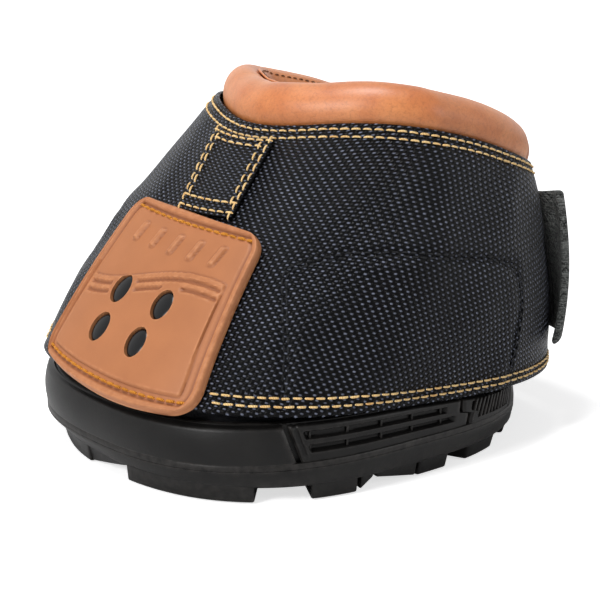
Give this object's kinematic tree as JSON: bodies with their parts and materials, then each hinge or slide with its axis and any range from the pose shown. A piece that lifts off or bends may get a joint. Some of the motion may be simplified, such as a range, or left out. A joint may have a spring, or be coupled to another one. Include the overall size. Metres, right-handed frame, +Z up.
{
  "type": "horse hoof boot",
  "caption": "Slip-on hoof boot: lugged rubber base, sewn fabric upper with a moulded front shield, padded collar, and heel flaps closed by a hook-and-loop strap.",
  "frame": {"origin": "on the ground, in the middle of the flat face of the tread's middle pad", "axes": "+Z up, -Y towards the toe, +Y towards the heel, +X to the right when the boot is seen from its toe end towards its heel (the side that the picture shows)"},
  "size_m": [0.1606, 0.19, 0.1324],
  "materials": {
    "black_rubber": "semi-matte moulded rubber",
    "ballistic_fabric": "coarse basket-weave ballistic nylon",
    "black_padding": "matt foam-backed fabric",
    "stiffener_board": "plain sheet",
    "black_webbing": "herringbone webbing",
    "hook_and_loop": "napped",
    "tan_leather": "smooth, satin",
    "tan_moulding": "fine-grained moulding",
    "black_gloss": "gloss"
  },
  "bodies": {
    "boot": {"outsole": "black_rubber", "base_cup": "black_rubber", "toe_band": "black_rubber", "side_insert_right": "black_rubber", "side_insert_left": "black_rubber", "heel_vent_right": "black_rubber", "heel_vent_left": "black_rubber", "heel_band_right": "black_rubber", "heel_band_left": "black_rubber", "footbed": "black_padding", "joining_rand": "ballistic_fabric", "upper_shell": "ballistic_fabric", "upper_lining": "black_padding", "side_stiffener_right": "stiffener_board", "side_stiffener_left": "stiffener_board", "front_collar_cover": "tan_leather", "front_collar_foam": "black_padding", "front_strap": "ballistic_fabric", "front_shield": "tan_moulding", "shield_backing": "black_gloss"},
    "outer_flap": {"outer_flap_panel": "ballistic_fabric", "outer_flap_lining": "black_padding", "outer_flap_collar_cover": "tan_leather", "outer_flap_collar_foam": "black_padding", "strap_anchor": "black_webbing"},
    "inner_flap": {"inner_flap_panel": "ballistic_fabric", "inner_flap_lining": "black_padding", "inner_flap_collar_cover": "tan_leather", "inner_flap_collar_foam": "black_padding", "loop_patch": "hook_and_loop"},
    "closure_strap": {"closure_strap": "black_webbing", "strap_hook_patch": "hook_and_loop"}
  },
  "joints": [
    {"name": "outer_flap_hinge", "type": "hinge", "parent": "boot", "child": "outer_flap", "pos_m": [-0.08145, 0.05222, 0.02516], "axis": [0.2308, 0.2104, 0.95], "range_deg": [0, 100]},
    {"name": "inner_flap_hinge", "type": "hinge", "parent": "boot", "child": "inner_flap", "pos_m": [0.08145, 0.05222, 0.02516], "axis": [-0.2308, 0.2104, 0.95], "range_deg": [-60, 0]},
    {"name": "strap_peel", "type": "hinge", "parent": "outer_flap", "child": "closure_strap", "pos_m": [-0.04667, 0.10235, 0.02245], "axis": [0.198, 0.0047, 0.9802], "range_deg": [0, 90]}
  ],
  "couplings": [
    {"joint": "inner_flap_hinge", "follows": "outer_flap_hinge", "ratio": -0.6}
  ]
}
